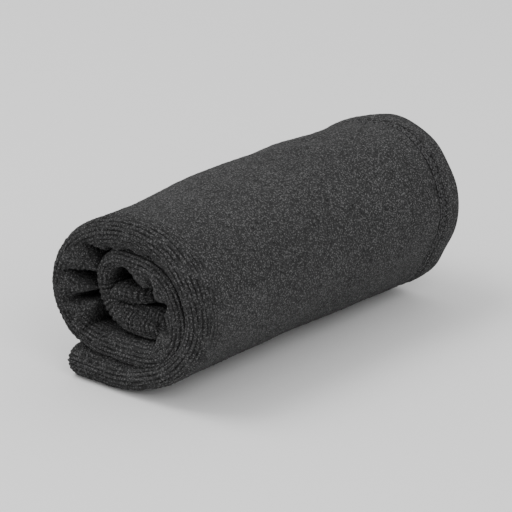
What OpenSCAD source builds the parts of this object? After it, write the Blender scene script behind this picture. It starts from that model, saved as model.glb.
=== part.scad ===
// Quick dry terry towel, folded in half lengthwise and rolled up.
// The roll lies on its side along Y. The lengthwise fold is at -Y, the open hems are at +Y,
// and the free end of the cloth lies on the table at -X.

/* [Towel] */
// Width of the towel laid flat, which is twice the length of the roll
towel_w = 400; // [300:10:500]
// Loft of one layer of terry in the roll
ply_t = 4; // [3.3:0.1:4.1]
// Gap between the two layers of the folded cloth
ply_gap = 0.4; // [0.2:0.1:1]

/* [Free end] */
// Loft of the two slack layers where the roll rests on them
slack_t = 16; // [15:0.5:16]
// Loft of the two layers at the very end of the cloth
end_t = 15; // [10:0.5:15]

/* [Hems] */
// Width of the hems along the two long edges
hem_w = 16; // [15.5:0.5:17]
// Width of the hems across the two ends
end_hem_w = 12; // [11.8:0.1:12.5]
// Distance from a long edge to its first row of stitches
row_inset = 10; // [9:0.5:10.5]
// Distance from an end to its first row of stitches
end_row_inset = 7; // [6:0.1:7.2]
// Distance between the two rows of stitches
row_gap = 4; // [3:0.5:4]
// Diameter of the sewing thread
thread_d = 0.8; // [0.5:0.1:0.9]

/* [Hidden] */
$fn = 64;

roll_len = towel_w / 2;
near_end = roll_len / 2;
slack_inner_t = slack_t - ply_t;
// Room around the thread in its groove, and how far the groove's cutter stands proud
thread_play = 0.3;
cutter_proud = 1;
groove = thread_d + thread_play;
thread_depth = groove / 2;
cloth_colour = [0.20, 0.20, 0.21];
hem_colour = [0.24, 0.24, 0.25];
thread_colour = [0.12, 0.12, 0.13];

// The line along which the free end lifts off the table, and the play it needs there
flap_x = -22;
flap_play = 0.3;
// The tip of the free end, and the place where the slack layers pass into the first turn
tip_x = -37.5;
turn_x = 3;

// The turns of the roll in its cross-section, from the bottom outside to the core. Each stretch
// is [radius, degrees] for an arc that turns left, or [0, length] for a straight one.
LAPS = [
    [41.5, 90], [41.5, 90], [0, 7.5], [40, 90], [26.4, 90],
    [0, 26.1], [23.5, 90], [23.4, 90], [0, 11.6], [18.3, 90], [20, 90],
    [0, 9.8], [14.9, 90], [14.8, 90], [0, 11.6], [9.7, 90],
    [11.4, 90], [0, 9.8], [6.3, 90], [6.2, 90], [0, 12.6]
];
LAP_COUNT = len(LAPS);
// The first and last stretch of each turn
OUTER_TURN = [0, 4];
MIDDLE_TURN = [5, 10];
CORE_TURNS = [11, LAP_COUNT - 1];
EVERY_TURN = [0, LAP_COUNT - 1];

// Where a stretch that starts at pose p ends. A pose is [x, height, heading].
function after(p, lap) =
    lap[0] == 0
    ? [p[0] + lap[1] * cos(p[2]), p[1] + lap[1] * sin(p[2]), p[2]]
    : [p[0] + lap[0] * (sin(p[2] + lap[1]) - sin(p[2])),
       p[1] + lap[0] * (cos(p[2]) - cos(p[2] + lap[1])),
       p[2] + lap[1]];
function pose(i) = i == 0 ? [turn_x, ply_t, 0] : after(pose(i - 1), LAPS[i - 1]);

core_end = pose(LAP_COUNT);

// Everything below is drawn looking at the near end of the roll: x to the right, y up, and
// z out of the roll towards the lengthwise fold.
module seen_from_near_end() rotate([90, 0, 0]) children();

// Sweeps a profile along one stretch. The profile's x is measured outwards from the gap between
// the two layers, and its y runs along the roll.
module sweep_stretch(p, lap, trim = 0) {
    if (lap[0] == 0)
        translate([p[0], p[1], 0]) rotate(p[2] - 90) rotate([90, 0, 0])
            translate([0, 0, trim - lap[1]]) linear_extrude(lap[1] - trim) children();
    else
        translate([p[0] - lap[0] * sin(p[2]), p[1] + lap[0] * cos(p[2]), 0])
            rotate_extrude(angle = lap[1], start = p[2] - 90)
                translate([lap[0], 0]) children();
}

// Sweeps a profile along the stretches of a turn, and stops short of the hem at the core
module sweep_turn(turn)
    for (i = [turn[0]:turn[1]])
        sweep_stretch(pose(i), LAPS[i], i == LAP_COUNT - 1 ? end_hem_w : 0) children();

// Both layers and the fold that joins them, from a height along the roll to the near end
module folded_profile(inner_t, from) {
    t = ply_t + inner_t;
    difference() {
        translate([ply_t - t / 2, 0]) fold_outline(t, from);
        translate([-ply_gap / 2, -near_end]) square([ply_gap, roll_len - t / 2]);
    }
}

module fold_outline(t, from) {
    translate([-t / 2, from]) square([t, near_end - t / 2 - from]);
    translate([0, near_end - t / 2]) circle(d = t);
}

// How far the middle of a row of stitches is from the edge of the cloth
function row_pos(row, inset) = inset + (row - 1) * row_gap;

// One layer of a long hem, with a groove under each row of stitches. The face of the layer is
// its far side from the gap.
module long_hem_profile(face) {
    difference() {
        translate([ply_gap / 2, -near_end]) square([face - ply_gap / 2, hem_w]);
        for (row = [1, 2])
            translate([0, row_pos(row, row_inset) - near_end]) groove_profile(face);
    }
}

module long_row_profile(face, row)
    translate([0, row_pos(row, row_inset) - near_end]) thread_profile(face);

// The slack layers between the free end and the first turn, whose inner layer is puffed up
module sweep_slack(beyond = 0)
    sweep_stretch([flap_x + flap_play, ply_t, 0], [0, turn_x - flap_x - flap_play + beyond])
        children();

// The terry between the hems is one cloth, given turn by turn
module terry_turn(turn) color(cloth_colour) seen_from_near_end()
    sweep_turn(turn) folded_profile(ply_t, hem_w - near_end);

module terry_outer_turn() {
    terry_turn(OUTER_TURN);
    color(cloth_colour) seen_from_near_end()
        sweep_slack() folded_profile(slack_inner_t, hem_w - near_end);
}

module outer_long_hem() color(hem_colour) seen_from_near_end() {
    sweep_turn(EVERY_TURN) long_hem_profile(ply_t);
    sweep_slack() long_hem_profile(ply_t);
}

module inner_long_hem() color(hem_colour) seen_from_near_end() {
    sweep_turn(EVERY_TURN) mirror([1, 0]) long_hem_profile(ply_t);
    sweep_slack() mirror([1, 0]) long_hem_profile(slack_inner_t);
}

module outer_row(row) color(thread_colour) seen_from_near_end() {
    sweep_turn(EVERY_TURN) long_row_profile(ply_t, row);
    sweep_slack() long_row_profile(ply_t, row);
}

// The thread comes down the end of the puffed layer into the first turn
module inner_row(row) color(thread_colour) seen_from_near_end() {
    step = slack_inner_t - ply_t;
    step_z = row_pos(row, row_inset) - near_end;
    sweep_turn(EVERY_TURN) mirror([1, 0]) long_row_profile(ply_t, row);
    sweep_slack(thread_depth) mirror([1, 0]) long_row_profile(slack_inner_t, row);
    translate([turn_x + thread_depth, 2 * ply_t - thread_depth, step_z])
        rotate([-90, 0, 0]) cylinder(d = thread_d, h = step);
}

module groove_profile(face)
    translate([face - groove, -groove / 2]) square([groove + cutter_proud, groove]);

module thread_profile(face) translate([face - thread_depth, 0]) circle(d = thread_d);

// Sweeps a profile across the whole width of the cloth: along one layer, round the fold and
// back. The two layers are alike here, and the profile lies just under a layer's face.
module sweep_across(face) {
    for (side = [0, 1])
        mirror([side, 0, 0]) translate([0, 0, -near_end])
            linear_extrude(roll_len - face) children();
    translate([0, 0, near_end - face]) rotate([90, 0, 0])
        rotate_extrude(angle = 180) children();
}

// Places a cross row at its distance from the end of the core, where x is across the layers
module at_core_row(row)
    translate([core_end[0], core_end[1], 0]) rotate(core_end[2] - 90)
        translate([0, -row_pos(row, end_row_inset), 0]) children();

module core_end_hem() color(hem_colour) seen_from_near_end()
    difference() {
        translate([core_end[0], core_end[1], 0]) rotate(core_end[2] - 90) rotate([90, 0, 0])
            linear_extrude(end_hem_w) folded_profile(ply_t, -near_end);
        for (row = [1, 2]) at_core_row(row) sweep_across(ply_t) groove_profile(ply_t);
    }

module core_row(row) color(thread_colour) seen_from_near_end()
    at_core_row(row) sweep_across(ply_t) thread_profile(ply_t);

// The free end has a round tip, and a flat strip that reaches back to the line where it lifts
module end_outline() {
    translate([tip_x + end_t / 2, end_t / 2]) circle(d = end_t);
    translate([tip_x + end_t / 2, 0]) square([flap_x - tip_x - end_t / 2, end_t]);
}

module at_end_row(row)
    translate([tip_x + row_pos(row, end_row_inset), end_t / 2, 0]) rotate(90) children();

module free_end_hem() color(hem_colour) seen_from_near_end()
    difference() {
        intersection() {
            translate([0, 0, -near_end]) linear_extrude(roll_len) end_outline();
            translate([tip_x, end_t / 2, 0]) rotate(90) rotate([90, 0, 0])
                linear_extrude(flap_x - tip_x) fold_outline(end_t, -near_end);
        }
        for (row = [1, 2]) at_end_row(row) sweep_across(end_t / 2) groove_profile(end_t / 2);
    }

module end_row(row) color(thread_colour) seen_from_near_end()
    at_end_row(row) sweep_across(end_t / 2) thread_profile(end_t / 2);

terry_outer_turn();
terry_turn(MIDDLE_TURN);  // terry_middle_turn
terry_turn(CORE_TURNS);  // terry_core_turns
outer_long_hem();
inner_long_hem();
core_end_hem();
outer_row(1);  // outer_hem_stitch_row_1
outer_row(2);  // outer_hem_stitch_row_2
inner_row(1);  // inner_hem_stitch_row_1
inner_row(2);  // inner_hem_stitch_row_2
core_row(1);  // core_hem_stitch_row_1
core_row(2);  // core_hem_stitch_row_2
free_end_hem();
end_row(1);  // free_end_stitch_row_1
end_row(2);  // free_end_stitch_row_2
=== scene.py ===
import math

import bpy
import numpy as np
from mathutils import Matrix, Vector


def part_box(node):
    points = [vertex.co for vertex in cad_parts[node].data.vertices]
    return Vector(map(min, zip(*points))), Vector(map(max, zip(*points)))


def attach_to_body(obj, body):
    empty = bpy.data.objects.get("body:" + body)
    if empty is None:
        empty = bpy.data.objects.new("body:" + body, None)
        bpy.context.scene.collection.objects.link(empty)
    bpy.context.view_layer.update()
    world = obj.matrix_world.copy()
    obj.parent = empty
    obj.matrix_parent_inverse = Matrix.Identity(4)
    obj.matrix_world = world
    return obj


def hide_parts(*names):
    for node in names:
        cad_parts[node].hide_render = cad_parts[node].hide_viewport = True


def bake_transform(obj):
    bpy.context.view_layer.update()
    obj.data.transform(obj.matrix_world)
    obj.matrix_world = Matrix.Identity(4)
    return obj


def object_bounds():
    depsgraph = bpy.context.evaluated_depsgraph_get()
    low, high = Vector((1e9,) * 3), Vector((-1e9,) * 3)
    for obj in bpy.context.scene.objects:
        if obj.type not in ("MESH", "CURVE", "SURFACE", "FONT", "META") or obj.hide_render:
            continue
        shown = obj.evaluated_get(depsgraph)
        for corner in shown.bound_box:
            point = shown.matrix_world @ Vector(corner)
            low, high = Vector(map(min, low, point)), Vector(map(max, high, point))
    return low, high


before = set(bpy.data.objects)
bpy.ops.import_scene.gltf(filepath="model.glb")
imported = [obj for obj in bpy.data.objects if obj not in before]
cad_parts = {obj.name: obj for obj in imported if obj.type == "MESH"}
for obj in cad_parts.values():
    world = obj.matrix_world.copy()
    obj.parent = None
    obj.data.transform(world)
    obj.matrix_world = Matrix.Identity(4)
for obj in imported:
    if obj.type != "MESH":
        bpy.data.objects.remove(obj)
cad_low, cad_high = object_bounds()

# A terry towel, folded in half lengthwise and rolled up. All lengths below are in millimetres
# unless a name says otherwise, and MM turns them into Blender's metres.
MM = 0.001


def cad_side(node_name, axis):
    """The size of a CAD node along an axis, 0 for x to 2 for z."""
    low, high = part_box(node_name)
    return (high[axis] - low[axis]) / MM


HALF = (cad_high.y - cad_low.y) / 2 / MM  # half the length of the roll
TIP_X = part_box("free_end_hem")[0].x / MM
PLY = cad_side("core_end_hem", 2) / 2  # loft of a layer
SLIT = 0.2  # half the gap between the two layers
HEM = cad_side("outer_long_hem", 1)
END_HEM = cad_side("core_end_hem", 0)
ROWS = (10.0, 14.0)  # distance of each row of stitches from a long edge of the cloth
END_ROWS = (7.0, 11.0)  # and from its ends
CUT = 22.0  # the free end is its own piece up to this distance from the end of the cloth


# ---------------------------------------------------------------- camera

def make_camera(azimuth, elevation, distance, lens, target):
    data = bpy.data.cameras.new("camera")
    data.lens = lens
    data.sensor_width = 36.0
    data.clip_start, data.clip_end = 0.05, 30.0
    camera = bpy.data.objects.new("camera", data)
    bpy.context.collection.objects.link(camera)
    a, e = math.radians(azimuth), math.radians(elevation)
    back = (math.sin(a) * math.cos(e), -math.cos(a) * math.cos(e), math.sin(e))
    camera.location = [t + b * distance for t, b in zip(target, back)]
    camera.rotation_euler = (math.pi / 2 - e, 0, a)
    bpy.context.scene.camera = camera


make_camera(azimuth=40.0, elevation=20.9, distance=2.2, lens=312.5, target=(-0.0015, 0.0, 0.0435))


# ---------------------------------------------------------------- the rolled path

# The middle of the folded cloth in the roll's cross-section, from the free end to the core.
# Each stretch is (radius, degrees) for an arc, both negative where it turns right, or
# (0, length) for a straight. The inner end of the cloth is folded to and fro in the core.
TURNS = [
    (0, 3 - TIP_X),
    (41.5, 90), (41.5, 90), (0, 7.5), (40, 90), (26.4, 90),
    (0, 26.1), (24.7, 90), (24.4, 90), (0, 9.8), (16.5, 90), (18.7, 90),
    (0, 14), (3.7, 180), (0, 22), (-4.1, -180),
    (0, 22), (3.2, 180), (0, 21.5), (-3, -180), (0, 23),
]


def walk(turns, start, step=0.25):
    """Points every step along the stretches, as x and z."""
    x, z = start
    heading = 0.0
    points = [(x, z)]
    left = step
    for radius, amount in turns:
        length = radius * math.radians(amount) if radius else amount
        done = 0.0
        x0, z0, h0 = x, z, heading
        while done + left <= length:
            done += left
            left = step
            if radius:
                h = h0 + done / radius
                points.append((x0 + radius * (math.sin(h) - math.sin(h0)),
                               z0 + radius * (math.cos(h0) - math.cos(h))))
            else:
                points.append((x0 + done * math.cos(h0), z0 + done * math.sin(h0)))
        left -= length - done
        if radius:
            heading = h0 + math.radians(amount)
            x = x0 + radius * (math.sin(heading) - math.sin(h0))
            z = z0 + radius * (math.cos(h0) - math.cos(heading))
        else:
            x, z = x0 + length * math.cos(h0), z0 + length * math.sin(h0)
    return np.array(points)


def smoothed(values, sigma, step):
    """A Gaussian blur along the first axis that keeps the ends where they are."""
    reach = int(4 * sigma / step)
    kernel = np.exp(-0.5 * (np.arange(-reach, reach + 1) * step / sigma) ** 2)
    kernel /= kernel.sum()
    values = np.asarray(values, float)
    flat = values.reshape(len(values), -1)
    before = 2 * flat[0] - flat[reach:0:-1]
    after = 2 * flat[-1] - flat[-2:-reach - 2:-1]
    padded = np.concatenate([before, flat, after])
    out = np.stack([np.convolve(c, kernel, "valid") for c in padded.T], axis=1)
    return out.reshape(values.shape)


STEP = 0.25
SOFT_BLUR, TIGHT_BLUR = 4.0, 1.5  # how much the turns are smoothed, and the folds in the core
CORE_FROM, CORE_FADE = 452.0, 14.0  # where the folds in the core begin, and over what distance

path = walk(TURNS, (TIP_X, PLY), STEP)
PATH_S = np.arange(len(path)) * STEP
LENGTH = PATH_S[-1]
core_share = np.clip((PATH_S - CORE_FROM) / CORE_FADE, 0, 1)[:, None]
path = smoothed(path, SOFT_BLUR, STEP) * (1 - core_share) + smoothed(path, TIGHT_BLUR, STEP) * core_share
tangent = np.gradient(path, STEP, axis=0)
tangent /= np.linalg.norm(tangent, axis=1)[:, None]
outward = np.stack([tangent[:, 1], -tangent[:, 0]], axis=1)


def along(s, table):
    """The value of a curve along the path, at the distances s from the free end."""
    return np.interp(s, PATH_S, table)


def knots(pairs, blur):
    """A smooth curve along the path through a few chosen values."""
    at, value = zip(*pairs)
    return smoothed(np.interp(PATH_S, at, value), blur, STEP)


def smoothstep(x, low, high):
    t = np.clip((x - low) / (high - low), 0, 1)
    return t * t * (3 - 2 * t)


# The loft of one layer, which the core presses thin
LOFT = knots([(0, PLY), (451, PLY), (475, 3.0), (500, 3.0), (540, 2.4), (700, 2.4)], 8.0)
# How far the folded cloth stands inwards from its middle at the mouth of the roll. The puffs of
# slack cloth there are the high values.
INNER_MOUTH = knots([
    (0, 12.0), (6, 13.5), (14, 14.0), (26, 13.0), (40, 10.0), (62, 9.0), (106, 9.0), (125, 10.0),
    (142, 11.0), (150, 13.5), (157, 11.0), (166, 14.0), (174, 11.5), (183, 14.5), (192, 11.5),
    (199, 13.0), (204, 10.0), (208, 4.5), (212, 13.0), (217, 20.5), (223, 21.0), (229, 14.0),
    (232.5, 3.5), (236, 14.0), (239, 21.5), (244, 20.0), (247.5, 12.0), (250.5, 4.0), (253, 12.0),
    (257, 18.5), (262, 17.5), (266, 11.0), (269, 5.0), (274, 8.0), (283, 7.5), (296, 8.0),
    (309, 8.5), (318, 8.0), (322, 12.5), (330, 14.0), (335, 9.5), (339, 7.5), (343, 12.5),
    (350, 14.5), (355, 9.5), (358, 7.5), (362, 15.5), (370, 18.0), (375, 11.0), (378, 7.0),
    (382, 13.5), (389, 15.5), (393, 9.0), (397, 5.5), (402, 5.0), (411, 3.0), (421, 3.0),
    (430, 4.5), (440, 7.0), (451, 7.5), (464, 6.5), (472, 3.2), (480, 3.0), (496, 3.4),
    (504, 4.0), (512, 4.6), (528, 4.6), (538, 3.0), (546, 2.4), (700, 2.4),
], 0.9)
# How far into the roll the puffs reach, and how far the cloth stands inwards beyond them
PLEAT_DEPTH = knots([(0, 90), (280, 90), (300, 50), (700, 50)], 6.0)
INNER_DEEP = knots([
    (0, 10.0), (14, 12.0), (40, 11.0), (62, 7.0), (106, 6.0), (160, 8.0), (200, 9.5), (240, 9.5),
    (270, 6.0), (283, 4.0), (400, 4.0), (411, 3.0), (540, 2.4), (700, 2.4),
], 4.0)
# How far it stands outwards at the mouth
OUTER_MOUTH = knots([
    (0, 4.2), (106, 4.4), (170, 4.2), (241, 4.0), (283, 4.6), (309, 5.0), (382, 4.4), (423, 4.2),
    (440, 4.8), (464, 5.2), (472, 4.5), (480, 3.2), (496, 3.3), (504, 4.0), (512, 4.6),
    (528, 4.6), (540, 2.8), (546, 2.4), (700, 2.4),
], 6.0)
# Where the foremost line of the fold lies between the outside (+) and the inside (-)
CREST = knots([
    (0, -5.0), (40, -3.0), (62, -2.0), (106, -1.0), (171, -2.5), (225, -2.0), (283, 0.0),
    (309, 0.0), (345, -2.0), (390, -1.5), (420, 1.0), (440, -1.0), (462, -4.0), (480, -1.0),
    (530, 0.0), (700, 0.0),
], 5.0)
# How far the fold lies behind the mouth of the roll
RECESS = knots([
    (0, 1.5), (40, 0.5), (106, 0.0), (241, 1.0), (283, 2.0), (345, 1.5), (394, 2.0), (423, 4.0),
    (451, 4.0), (463, 5.0), (472, 8.0), (482, 9.0), (494, 8.0), (502, 5.0), (512, 4.0),
    (518, 5.0), (525, 9.0), (533, 22.0), (541, 32.0), (552, 38.0), (700, 40.0),
], 4.0)
# How far the fold takes to round over to the outside, and to the inside
ROUND_OUT = knots([(0, 9.0), (40, 9.0), (106, 8.0), (241, 8.5), (283, 5.0), (309, 4.5), (345, 6.0),
                   (423, 5.0), (458, 7.5), (480, 4.0), (500, 4.5), (520, 5.0), (700, 4.0)], 6.0)
ROUND_IN = knots([(0, 10.0), (60, 9.0), (200, 9.0), (232, 12.0), (270, 8.0), (309, 8.0), (330, 11.0),
                  (390, 11.0), (423, 6.0), (454, 8.0), (480, 4.0), (515, 5.5), (700, 4.0)], 4.0)
# How far the outer turn hangs in or bulges out: all along the roll, at the mouth and at the
# far end
SWELL = knots([
    (0, 0), (28, 0), (40, -2.6), (52, -5.2), (68, -5.6), (84, -4.2), (98, -2.0), (112, 0), (700, 0),
], 4.0)
NEAR_SWELL = knots([
    (0, 0), (150, 0), (168, -1.0), (188, -2.6), (204, -2.0), (222, 0.5), (240, 2.2), (262, 2.0),
    (278, 0), (700, 0),
], 5.0)
FAR_SWELL = knots([
    (0, 0), (42, 0), (60, 2.2), (74, 1.4), (86, -1.6), (100, -1.0), (120, 0.8), (138, 3.2),
    (150, 4.2), (162, 3.0), (176, 0.2), (196, -2.4), (215, -2.0), (236, 0), (700, 0),
], 5.0)
# How strongly the loops show as wales, across the fold, and how far the rows of loops that
# follow the fold reach down its inner side
WALE_SHARE = knots([
    (0, 0.1), (190, 0.15), (283, 0.25), (309, 0.2), (400, 0.15), (418, 0.7), (430, 1.0),
    (530, 1.0), (545, 0.4), (700, 0.2),
], 4.0)
ROW_REACH = knots([(0, 8), (190, 8), (205, 17), (275, 17), (290, 9), (480, 8), (700, 8)], 4.0)


def wave(seed, *coordinates, lengths, count=7):
    """Smooth noise from -1 to 1: a seeded sum of sines with wavelengths about the lengths."""
    rng = np.random.default_rng(seed)
    total = 0.0
    for _ in range(count):
        phase = rng.uniform(0, 2 * np.pi)
        angle = phase
        for c, length in zip(coordinates, lengths):
            angle = angle + c * 2 * np.pi / length * rng.uniform(0.6, 1.5) * rng.choice([-1, 1])
        total = total + np.sin(angle)
    return total / count * 1.4


SEAM_WIDTH = 0.8
SEAM_DEPTHS = (1.2, 1.0)  # how far each row of stitches pulls the cloth in
EDGE_PUFF, MIDDLE_PUFF = 0.45, 0.25  # how far the hem puffs up past the rows, and between them


def bump_at(y, inset, width):
    """A rounded bump from 0 to 1 along the roll, at a distance from the long edges."""
    return np.exp(-((y - (HALF - inset)) / width) ** 2)


def hem_relief(y):
    """A hem's relief: the edge puffs up, and each row of stitches pulls the cloth in."""
    puff = EDGE_PUFF * smoothstep(y, HALF - ROWS[0] + 0.3, HALF - ROWS[0] + 4.0)
    puff = puff * (1 - 0.8 * smoothstep(y, HALF - 3.0, HALF))
    puff = puff + MIDDLE_PUFF * bump_at(y, (ROWS[0] + ROWS[1]) / 2, 1.0)
    return puff - sum(depth * bump_at(y, inset, SEAM_WIDTH) for depth, inset in zip(SEAM_DEPTHS, ROWS))


def outer_loft(s, y):
    mouth = 1 - smoothstep(y, -HALF + 6, -HALF + 30)
    deep = along(s, LOFT)
    return deep + (along(s, OUTER_MOUTH) - deep) * mouth + hem_relief(y) * deep / PLY


def inner_loft(s, y):
    mouth = 1 - smoothstep(y, -HALF + 12, -HALF + along(s, PLEAT_DEPTH))
    deep = along(s, INNER_DEEP)
    return deep + (along(s, INNER_MOUTH) - deep) * mouth + hem_relief(y) * along(s, LOFT) / PLY


def hairpin(s, u):
    """The two faces of the folded cloth in its own cross-section: how far out, and where along
    the roll. u runs from the hem of the outer layer (0) to the fold (1 to 2) and along the
    inner layer to its hem (3)."""
    s, u = np.broadcast_arrays(np.asarray(s, float), np.asarray(u, float))
    mouth = -HALF + along(s, RECESS)
    out_end, in_end = mouth + along(s, ROUND_OUT), mouth + along(s, ROUND_IN)
    a, b = np.clip(u, 0, 1), np.clip(u - 2, 0, 1)
    theta = np.pi * np.clip(u - 1, 0, 1)
    y_a, y_b = HALF + (out_end - HALF) * a, in_end + (HALF - in_end) * b
    n_a, n_b = outer_loft(s, y_a), -inner_loft(s, y_b)
    crest = along(s, CREST)
    side = np.where(theta < np.pi / 2, n_a - crest, crest - n_b)
    depth = np.where(theta < np.pi / 2, along(s, ROUND_OUT), along(s, ROUND_IN))
    fold_n, fold_y = crest + side * np.cos(theta), mouth + depth * (1 - np.sin(theta))
    face_n = np.where(u < 1, n_a, np.where(u > 2, n_b, fold_n))
    face_y = np.where(u < 1, y_a, np.where(u > 2, y_b, fold_y))
    # The hidden faces between the layers
    gap_b = np.minimum(n_b + along(s, LOFT), -SLIT)
    slit_end = np.maximum(out_end, in_end) + 1.5 - 3.0 * (1 - smoothstep(s, 10, 40))
    gap_n = np.where(u < 1, SLIT, np.where(
        u > 2, gap_b, (SLIT + gap_b) / 2 + (SLIT - gap_b) / 2 * np.cos(theta)))
    gap_y = np.where(u < 1, HALF + (slit_end - HALF) * a, np.where(
        u > 2, slit_end + (HALF - slit_end) * b, slit_end - 3.0 * np.sin(theta)))
    return face_n, face_y, gap_n, gap_y


END_ROUND = 3.5  # the cloth's two short edges round off over this distance
THINNEST = 0.12  # and come down to this share of its thickness
TIP_REACH = 2.5  # how far the free end's tip is drawn out


def edge_share(s):
    near = np.clip(np.minimum(s, LENGTH - s) / END_ROUND, 0, 1)
    return np.maximum(np.sqrt(1 - (1 - near) ** 2), THINNEST)


def place(s, n, y):
    """Points of the cross-section in the frame's axes, with the slow unevenness of a soft roll."""
    n = n + along(s, SWELL) + along(s, FAR_SWELL) * smoothstep(y, 0, 90)
    n = n + along(s, NEAR_SWELL) * (1 - smoothstep(y, -90, -20))
    x = along(s, path[:, 0]) + n * along(s, outward[:, 0])
    z = along(s, path[:, 1]) + n * along(s, outward[:, 1])
    x = x - TIP_REACH * (1 - smoothstep(np.asarray(s, float), 0, 18))
    x = x + 0.9 * wave(3, y, z, lengths=(95, 80)) + 0.4 * wave(4, y, x, z, lengths=(34, 40, 40))
    z = z + 1.0 * wave(5, y, x, lengths=(110, 90)) * smoothstep(z, 0, 60)
    z = z + 0.4 * wave(6, y, x, z, lengths=(30, 42, 42)) * smoothstep(z, 0, 20)
    return np.stack([x, np.broadcast_to(y, x.shape), z], axis=-1)


def cloth_points(s, u, side=1.0):
    """Points on the outer face (side 1) or the hidden face (side -1) of the folded cloth."""
    face_n, face_y, gap_n, gap_y = hairpin(s, u)
    share = edge_share(s)
    n = (face_n + gap_n) / 2 + (face_n - gap_n) / 2 * side * share
    y = (face_y + gap_y) / 2 + (face_y - gap_y) / 2 * side * share
    return place(s, n, y)


# ---------------------------------------------------------------- the cloth's grid

def spaced(low, high, step):
    return np.linspace(low, high, max(2, int(round((high - low) / step)) + 1))


EVERY = 4  # the hidden faces have one column for each four of the outer face


def in_fours(low, high, step):
    """Evenly spaced values, in a whole number of fours and one more."""
    count = max(1, int(round((high - low) / step / EVERY))) * EVERY
    return np.linspace(low, high, count + 1)


COARSE = 1.0
FINE = 0.7 * COARSE
VISIBLE_END = 290.0  # from here on the roll covers the outer layer
MOUTH_END = 544.0  # and from here on the fold lies too deep to be seen
s_all = np.concatenate([
    spaced(0, 6, 0.7), spaced(6, CUT, FINE)[1:], spaced(CUT, VISIBLE_END, FINE)[1:],
    spaced(VISIBLE_END, MOUTH_END, FINE * 1.15)[1:], spaced(MOUTH_END, LENGTH - END_HEM, 2.0)[1:],
    spaced(LENGTH - END_HEM, LENGTH, 1.5)[1:],
])
span = 2 * HALF
NEAR_FOLD, MIDDLE = 30.0, 75.0  # the columns are finer this near to the fold
FOLD_COLUMNS = 48
u_outer = np.concatenate([
    in_fours(0, HEM / span, 0.5 * COARSE / span),
    in_fours(HEM / span, 1 - NEAR_FOLD / span, 0.85 * COARSE / span)[1:],
    in_fours(1 - NEAR_FOLD / span, 1, 0.55 * COARSE / span)[1:],
])
u_fold = in_fours(1, 2, COARSE / FOLD_COLUMNS)
u_inner = 2 + np.concatenate([
    in_fours(0, NEAR_FOLD / span, 0.6 * COARSE / span),
    in_fours(NEAR_FOLD / span, MIDDLE / span, 1.5 / span)[1:],
    in_fours(MIDDLE / span, 1 - HEM / span, 4 / span)[1:],
    in_fours(1 - HEM / span, 1, 1 / span)[1:],
])
u_all = np.concatenate([u_outer, u_fold[1:], u_inner[1:]])
last = len(u_all) - 1
outer_hem_at = int(np.argmin(abs(u_all - HEM / span)))
inner_hem_at = int(np.argmin(abs(u_all - 3 + HEM / span)))
fold_from = len(u_outer) - 1
rim_turn = np.linspace(0, np.pi, 8)[1:-1]  # the rounded edge of a hem


def hem_edge(s, u, sign):
    """The rounded edge of one layer's hem, from its outer face to its hidden face."""
    face_n, face_y, gap_n, gap_y = hairpin(s[:, None], np.full((1, 1), float(u)))
    share = edge_share(s)[:, None]
    middle, half = (face_n + gap_n) / 2, (face_n - gap_n) / 2 * share
    n = middle + half * np.cos(rim_turn)[None, :] * sign
    y = face_y + np.abs(half) * 0.8 * np.sin(rim_turn)[None, :]
    return place(s[:, None], n, y)


def normals_of(grid):
    """Unit normals of a grid of points, pointing out of the cloth."""
    n = np.cross(np.gradient(grid, axis=0), np.gradient(grid, axis=1))
    return n / np.maximum(np.linalg.norm(n, axis=-1), 1e-9)[..., None]


def ring_length(grid):
    steps = np.linalg.norm(np.diff(grid, axis=1), axis=-1)
    return np.concatenate([np.zeros((len(grid), 1)), np.cumsum(steps, axis=1)], axis=1)


ROW_STEP, WALE_STEP = 2.4, 2.6  # from one row or wale of loops to the next
TUFT_HEIGHT, ROW_HEIGHT, WALE_HEIGHT = 0.15, 0.5, 0.6
OUTER_REACH = 17.0  # how far the rows of loops reach along the outer side of the fold


def pile(grid, s, u):
    """The terry's loops as small bumps: random tufts, and rows and wales where it is stretched.
    Returns the height, and from 0 to 1 how deep each point lies between loops or in a seam: painted shade
    that darkens the terry's colour there."""
    rng = np.random.default_rng(11)
    tufts = rng.normal(size=grid.shape[:2])
    for axis in (0, 1):
        tufts = (np.roll(tufts, 1, axis) + 3 * tufts + np.roll(tufts, -1, axis)) / 3.3
    length = ring_length(grid)
    off = length - length[:, np.searchsorted(u, 1.5)][:, None]
    at = s[:, None] + 0 * off
    rows = np.cos(2 * np.pi * off / ROW_STEP + 0.8 * wave(22, at, off, lengths=(70, 50)))
    wales = np.cos(2 * np.pi * at / WALE_STEP + 0.8 * wave(23, off, at, lengths=(22, 60)))
    broken = np.clip(0.8 + 0.6 * wave(21, at, off, lengths=(20, 14)), 0, 1)
    reach = np.where(off < 0, OUTER_REACH, along(s, ROW_REACH)[:, None])
    wale_share = smoothstep(off, -9, -3) * (1 - smoothstep(off, 24, 36)) * along(s, WALE_SHARE)[:, None]
    wale_share = wale_share * np.clip(0.8 + 0.5 * wave(24, at, off, lengths=(22, 18)), 0, 1)
    row_share = np.exp(-(off / reach) ** 4) * broken * (1 - 0.8 * wale_share)
    row_groove = row_share * np.clip(-rows, 0, 1) ** 1.5
    wale_groove = wale_share * np.clip(-wales, 0, 1) ** 1.5
    deep = np.clip(-tufts - 0.5, 0, 1.2) / 1.2
    near_fold = np.exp(-(off / 26.0) ** 2)
    plain = (0.45 + 0.55 * near_fold) * (1 - 0.4 * np.maximum(row_share, wale_share))
    height = TUFT_HEIGHT * tufts * plain + ROW_HEIGHT * row_share * rows + WALE_HEIGHT * wale_share * wales
    # Painted shade: the grooves between rows and wales, the gaps between tufts and the seams at the stitch
    # rows darken the colour.
    seam = sum(bump_at(grid[..., 1], inset, SEAM_WIDTH) for inset in ROWS)
    groove = np.clip(1.1 * row_groove + 1.2 * wale_groove + 0.45 * deep + 0.75 * seam, 0, 1)
    return height, groove


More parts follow.
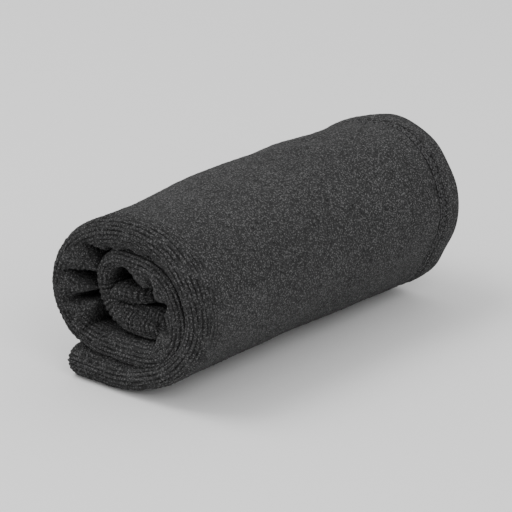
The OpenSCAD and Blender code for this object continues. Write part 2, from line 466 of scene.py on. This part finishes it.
face = cloth_points(s_all[:, None], u_all[None, :])
relief, grooves = pile(face, s_all, u_all)
face = face + normals_of(face) * relief[..., None]
hidden = cloth_points(s_all[:, None], u_all[None, ::EVERY], side=-1.0)
inner_rim = hem_edge(s_all, 3.0, 1.0)
outer_rim = hem_edge(s_all, 0.0, -1.0)
for points in (face, hidden, inner_rim, outer_rim):
    points[..., 2] = np.maximum(points[..., 2], 0.0)


# ---------------------------------------------------------------- the pieces of the cloth

def row_at(s):
    return int(np.argmin(abs(s_all - s)))


def cloth_piece(name, rows, first, final, thin_from=None):
    """A closed piece of the cloth between two rows and two columns of the grid. From the row
    thin_from on, its outer layer keeps one column in four, because the roll covers it."""
    row_ids = np.arange(rows[0], rows[1] + 1)
    columns = np.arange(first, final + 1)
    parts = [face[np.ix_(row_ids, columns)]]
    dark = [grooves[np.ix_(row_ids, columns)]]
    rims = [inner_rim if final == last else None, outer_rim if first == 0 else None]
    hidden_columns = np.arange(final // EVERY, first // EVERY - 1, -1)
    for part in (rims[0], hidden[:, hidden_columns], rims[1]):
        if part is not None:
            parts.append(part[row_ids])
            dark.append(np.zeros(part[row_ids].shape[:2]))
    ring, dark = np.concatenate(parts, axis=1), np.concatenate(dark, axis=1)
    width, face_count = ring.shape[1], len(columns)
    index = np.arange(len(row_ids) * width).reshape(len(row_ids), width)
    all_columns = np.arange(width)
    covered = (columns < fold_from) & (columns % EVERY != 0)
    kept = np.concatenate([all_columns[:face_count][~covered], all_columns[face_count:]])
    thin_row = len(row_ids) if thin_from is None else max(thin_from - rows[0], 0)

    faces = []
    for i in range(len(row_ids) - 1):
        here, there = (all_columns if r < thin_row else kept for r in (i, i + 1))
        if len(here) == len(there):
            turned = np.roll(here, -1)
            quads = [index[i, here], index[i, turned], index[i + 1, turned], index[i + 1, here]]
            faces.extend(np.stack(quads, 1).tolist())
        else:
            for c, d in zip(there, np.roll(there, -1)):
                between = range(c, d + 1) if d > c else (c, d)
                faces.append([index[i, k] for k in between] + [index[i + 1, d], index[i + 1, c]])
    hidden_start = face_count + (len(rim_turn) if rims[0] is not None else 0)
    for i, flip in ((0, True), (len(row_ids) - 1, False)):
        shown = set(all_columns if i < thin_row else kept)
        caps = []
        if rims[0] is not None:
            caps.append([index[i, k] for k in range(face_count - 1, hidden_start + 1)])
        if rims[1] is not None:
            caps.append([index[i, k] for k in range(width - len(rim_turn) - 1, width)] + [index[i, 0]])
        for k in range(len(hidden_columns) - 1):
            high = face_count - 1 - k * EVERY
            front = [index[i, c] for c in range(high - EVERY, high + 1) if c in shown]
            caps.append(front + [index[i, hidden_start + k], index[i, hidden_start + k + 1]])
        faces.extend(cap[::-1] if flip else cap for cap in caps)

    used = np.zeros(index.size, bool)
    used[np.concatenate([index[:thin_row].ravel(), index[thin_row:, kept].ravel()])] = True
    new_index = np.cumsum(used) - 1
    faces = [[int(new_index[k]) for k in f] for f in faces]
    mesh = bpy.data.meshes.new(name)
    mesh.from_pydata((ring.reshape(-1, 3)[used] * MM).tolist(), [], faces)
    mesh.validate()
    mesh.polygons.foreach_set("use_smooth", np.ones(len(mesh.polygons), bool))
    # The painted shade of the grooves, which the terry material reads to darken its colour.
    layer = mesh.attributes.new("groove", "FLOAT", "POINT")
    layer.data.foreach_set("value", dark.ravel()[used].astype(np.float32))
    piece = bpy.data.objects.new(name, mesh)
    bpy.context.collection.objects.link(piece)
    return piece


end_row, cut_row, core_row = len(s_all) - 1, row_at(CUT), row_at(LENGTH - END_HEM)
covered_row = row_at(VISIBLE_END)
roll_rows = (cut_row, core_row)
terry_field = cloth_piece("terry_field", roll_rows, outer_hem_at, inner_hem_at, covered_row)
outer_hem = cloth_piece("outer_hem", roll_rows, 0, outer_hem_at)
inner_hem = cloth_piece("inner_hem", roll_rows, inner_hem_at, last)
core_hem = cloth_piece("core_hem", (core_row, end_row), 0, last, 0)
free_end = cloth_piece("free_end", (0, cut_row), 0, last)
cloth = {
    terry_field: ["terry_outer_turn", "terry_middle_turn", "terry_core_turns"],
    outer_hem: ["outer_long_hem"], inner_hem: ["inner_long_hem"],
    core_hem: ["core_end_hem"], free_end: ["free_end_hem"],
}


# ---------------------------------------------------------------- stitches

STITCH, STITCH_STEP = 2.2, 2.9  # length of a stitch, and from one stitch to the next
THREAD = 0.42  # half the thickness of a stitch
SINK = 0.1  # how far a stitch lies in the cloth's face


def capsules(centres, directions, ups, name):
    """A row of short rounded stitches as one mesh."""
    rings = [(-0.5, 0.35), (-0.36, 0.85), (0.0, 1.0), (0.36, 0.85), (0.5, 0.35)]
    sides = 8
    turn = np.arange(sides) * 2 * np.pi / sides
    sideways = np.cross(ups, directions)
    points, faces = [], []
    for i, centre in enumerate(centres):
        base = len(points)
        for at, wide in rings:
            for t in turn:
                points.append(centre + directions[i] * at * STITCH
                              + (sideways[i] * math.cos(t) + ups[i] * math.sin(t)) * wide * THREAD)
        for r in range(len(rings) - 1):
            for k in range(sides):
                a, b = base + r * sides + k, base + r * sides + (k + 1) % sides
                faces.append((a, b, b + sides, a + sides))
        faces.append(tuple(base + k for k in reversed(range(sides))))
        faces.append(tuple(base + (len(rings) - 1) * sides + k for k in range(sides)))
    mesh = bpy.data.meshes.new(name)
    mesh.from_pydata([tuple(p * MM) for p in points], [], faces)
    mesh.polygons.foreach_set("use_smooth", np.ones(len(mesh.polygons), bool))
    row = bpy.data.objects.new(name, mesh)
    bpy.context.collection.objects.link(row)
    return row


def stitch_line(s, u):
    """Where stitches lie along a line on the cloth's face, given by s and u at many points:
    their middles, directions and up directions."""
    line = cloth_points(s, u)
    ahead = np.gradient(line, axis=0)
    aside = cloth_points(s, u + 0.002) - line if np.ptp(u) < 0.05 else cloth_points(s + 0.2, u) - line
    up = np.cross(ahead, aside)
    up /= np.linalg.norm(up, axis=1)[:, None]
    inner = cloth_points(s, u, side=-1.0) - line
    up *= -np.sign((up * inner).sum(1))[:, None]
    length = np.concatenate([[0], np.cumsum(np.linalg.norm(np.diff(line, axis=0), axis=1))])
    at = np.arange(STITCH_STEP / 2, length[-1] - STITCH_STEP / 2, STITCH_STEP)
    centre, ups, direction = (
        np.stack([np.interp(at, length, values[:, k]) for k in range(3)], 1)
        for values in (line, up, ahead))
    ups /= np.linalg.norm(ups, axis=1)[:, None]
    direction /= np.linalg.norm(direction, axis=1)[:, None]
    centre = centre - ups * SINK
    centre[:, 2] = np.maximum(centre[:, 2], THREAD + abs(direction[:, 2]) * STITCH / 2)
    return centre, direction, ups


def stitch_row(name, lines):
    found = [stitch_line(*line) for line in lines]
    return capsules(*(np.concatenate(values) for values in zip(*found)), name)


def long_line(low, high, u):
    s = np.arange(low, high, 0.5)
    return s, np.full_like(s, u)


def cross_line(s):
    u = np.linspace(0.005, 2.995, 900)
    return np.full_like(u, s), u


stitches = {}
for k, (inset, end_inset) in enumerate(zip(ROWS, END_ROWS), start=1):
    u_row = inset / span
    outer_row = stitch_row(f"outer_hem_stitches_{k}", [long_line(CUT, LENGTH - 2, u_row)])
    inner_row = stitch_row(f"inner_hem_stitches_{k}", [long_line(CUT, LENGTH - 2, 3 - u_row)])
    core_row_k = stitch_row(f"core_hem_stitches_{k}", [cross_line(LENGTH - end_inset)])
    end_lines = [cross_line(end_inset), long_line(2, CUT, u_row), long_line(2, CUT, 3 - u_row)]
    end_row_k = stitch_row(f"free_end_stitches_{k}", end_lines)
    stitches[outer_row] = f"outer_hem_stitch_row_{k}"
    stitches[inner_row] = f"inner_hem_stitch_row_{k}"
    stitches[core_row_k] = f"core_hem_stitch_row_{k}"
    stitches[end_row_k] = f"free_end_stitch_row_{k}"


# ---------------------------------------------------------------- materials

def new_material(name):
    material = bpy.data.materials.new(name)
    material.use_nodes = True
    tree = material.node_tree
    return material, tree, tree.nodes["Principled BSDF"]


def node(tree, kind, **values):
    n = tree.nodes.new(kind)
    for key, value in values.items():
        if key in n.inputs:
            n.inputs[key].default_value = value
        else:
            setattr(n, key, value)
    return n


def map_range(tree, source, low, high, from_low=0.0, from_high=1.0):
    n = node(tree, "ShaderNodeMapRange")
    for key, value in (("From Min", from_low), ("From Max", from_high), ("To Min", low), ("To Max", high)):
        n.inputs[key].default_value = value
    tree.links.new(source, n.inputs["Value"])
    return n.outputs["Result"]


def multiply(tree, colour, factor):
    n = node(tree, "ShaderNodeMix", data_type="RGBA", blend_type="MULTIPLY")
    n.inputs["Factor"].default_value = 1.0
    tree.links.new(colour, n.inputs["A"])
    tree.links.new(factor, n.inputs["B"])
    return n.outputs["Result"]


def terry_material():
    """Loops of pile about a millimetre across, with painted shade between them, and a little fuzz."""
    material, tree, shader = new_material("terry")
    link = tree.links.new
    place_node = node(tree, "ShaderNodeTexCoord")
    tufts = node(tree, "ShaderNodeTexVoronoi", Scale=1000.0, Randomness=1.0)
    grain = node(tree, "ShaderNodeTexNoise", Scale=1300.0, Detail=3.0, Roughness=0.65)
    gap_shade_specks = node(tree, "ShaderNodeTexNoise", Scale=1900.0, Detail=1.0)
    patches = node(tree, "ShaderNodeTexNoise", Scale=24.0, Detail=3.0)
    flecks = node(tree, "ShaderNodeTexNoise", Scale=260.0, Detail=2.0)
    for texture in (tufts, grain, gap_shade_specks, patches, flecks):
        link(place_node.outputs["Object"], texture.inputs["Vector"])
    height = node(tree, "ShaderNodeMath", operation="SUBTRACT")
    link(grain.outputs["Fac"], height.inputs[0])
    link(tufts.outputs["Distance"], height.inputs[1])
    # Painted shade: the colour runs from dark at the low points between tufts to light on their tops.
    ramp = node(tree, "ShaderNodeValToRGB")
    ramp.color_ramp.elements[0].position = 0.0
    ramp.color_ramp.elements[0].color = (0.028, 0.028, 0.0284, 1)
    ramp.color_ramp.elements[1].position = 0.40
    ramp.color_ramp.elements[1].color = (0.112, 0.112, 0.1125, 1)
    link(height.outputs["Value"], ramp.inputs["Fac"])
    colour = multiply(tree, ramp.outputs["Color"], map_range(tree, patches.outputs["Fac"], 0.75, 1.3))
    colour = multiply(tree, colour, map_range(tree, flecks.outputs["Fac"], 0.9, 1.08, 0.3, 0.7))
    # The dark specks are painted shade in the gaps between loops.
    colour = multiply(tree, colour, map_range(tree, gap_shade_specks.outputs["Fac"], 0.55, 1.14, 0.36, 0.56))
    # Painted shade: darker between loops and along the stitch rows, from the groove attribute.
    groove = node(tree, "ShaderNodeAttribute", attribute_name="groove")
    colour = multiply(tree, colour, map_range(tree, groove.outputs["Fac"], 1.08, 0.25))
    link(colour, shader.inputs["Base Color"])
    bump = node(tree, "ShaderNodeBump", Strength=0.9, Distance=0.0006)
    link(height.outputs["Value"], bump.inputs["Height"])
    link(bump.outputs["Normal"], shader.inputs["Normal"])
    link(map_range(tree, grain.outputs["Fac"], 0.85, 1.0), shader.inputs["Roughness"])
    shader.inputs["Specular IOR Level"].default_value = 0.08
    shader.inputs["Sheen Weight"].default_value = 0.02
    shader.inputs["Sheen Roughness"].default_value = 0.6
    return material


def thread_material():
    """Twisted polyester sewing thread."""
    material, tree, shader = new_material("thread")
    link = tree.links.new
    place_node = node(tree, "ShaderNodeTexCoord")
    twist = node(tree, "ShaderNodeTexNoise", Scale=1500.0, Detail=2.0)
    link(place_node.outputs["Object"], twist.inputs["Vector"])
    ramp = node(tree, "ShaderNodeValToRGB")
    ramp.color_ramp.elements[0].color = (0.016, 0.016, 0.017, 1)
    ramp.color_ramp.elements[1].color = (0.06, 0.06, 0.062, 1)
    link(twist.outputs["Fac"], ramp.inputs["Fac"])
    link(ramp.outputs["Color"], shader.inputs["Base Color"])
    bump = node(tree, "ShaderNodeBump", Strength=0.4, Distance=0.0002)
    link(twist.outputs["Fac"], bump.inputs["Height"])
    link(bump.outputs["Normal"], shader.inputs["Normal"])
    shader.inputs["Roughness"].default_value = 0.7
    return material


terry, thread = terry_material(), thread_material()
for piece in cloth:
    piece.data.materials.append(terry)
for row in stitches:
    row.data.materials.append(thread)


# ---------------------------------------------------------------- bodies, and the CAD parts they replace


def attach(piece):
    """The free end's transform is baked into its mesh, and the rest of the towel rides on the roll."""
    if piece.name.startswith("free_end"):
        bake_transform(piece)
    else:
        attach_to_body(piece, "roll")


for piece, nodes in cloth.items():
    attach(piece)
    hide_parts(*nodes)
for row, cad_node in stitches.items():
    attach(row)
    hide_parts(cad_node)


# ---------------------------------------------------------------- stage and light

def make_stage():
    mesh = bpy.data.meshes.new("floor")
    reach = 6.0
    corners = [(-reach, -reach, 0), (reach, -reach, 0), (reach, reach, 0), (-reach, reach, 0)]
    mesh.from_pydata(corners, [], [(0, 1, 2, 3)])
    floor = bpy.data.objects.new("floor", mesh)
    bpy.context.collection.objects.link(floor)
    material, tree, shader = new_material("floor")
    shader.inputs["Base Color"].default_value = (0.82, 0.82, 0.82, 1)
    shader.inputs["Roughness"].default_value = 0.9
    mesh.materials.append(material)


def area_light(name, location, size, power):
    data = bpy.data.lights.new(name, "AREA")
    data.shape = "SQUARE"
    data.size = size
    data.energy = power
    light = bpy.data.objects.new(name, data)
    bpy.context.collection.objects.link(light)
    light.location = location
    aim = Vector((0, 0, 0.05)) - Vector(location)
    light.rotation_euler = aim.to_track_quat("-Z", "Y").to_euler()


make_stage()
area_light("key", location=(-0.7, -0.5, 1.5), size=0.9, power=16.5)
area_light("fill", location=(1.4, -0.8, 1.2), size=1.0, power=14)
world = bpy.data.worlds.new("world")
bpy.context.scene.world = world
world.use_nodes = True
background = world.node_tree.nodes["Background"]
background.inputs["Color"].default_value = (1, 1, 1, 1)
background.inputs["Strength"].default_value = 0.95
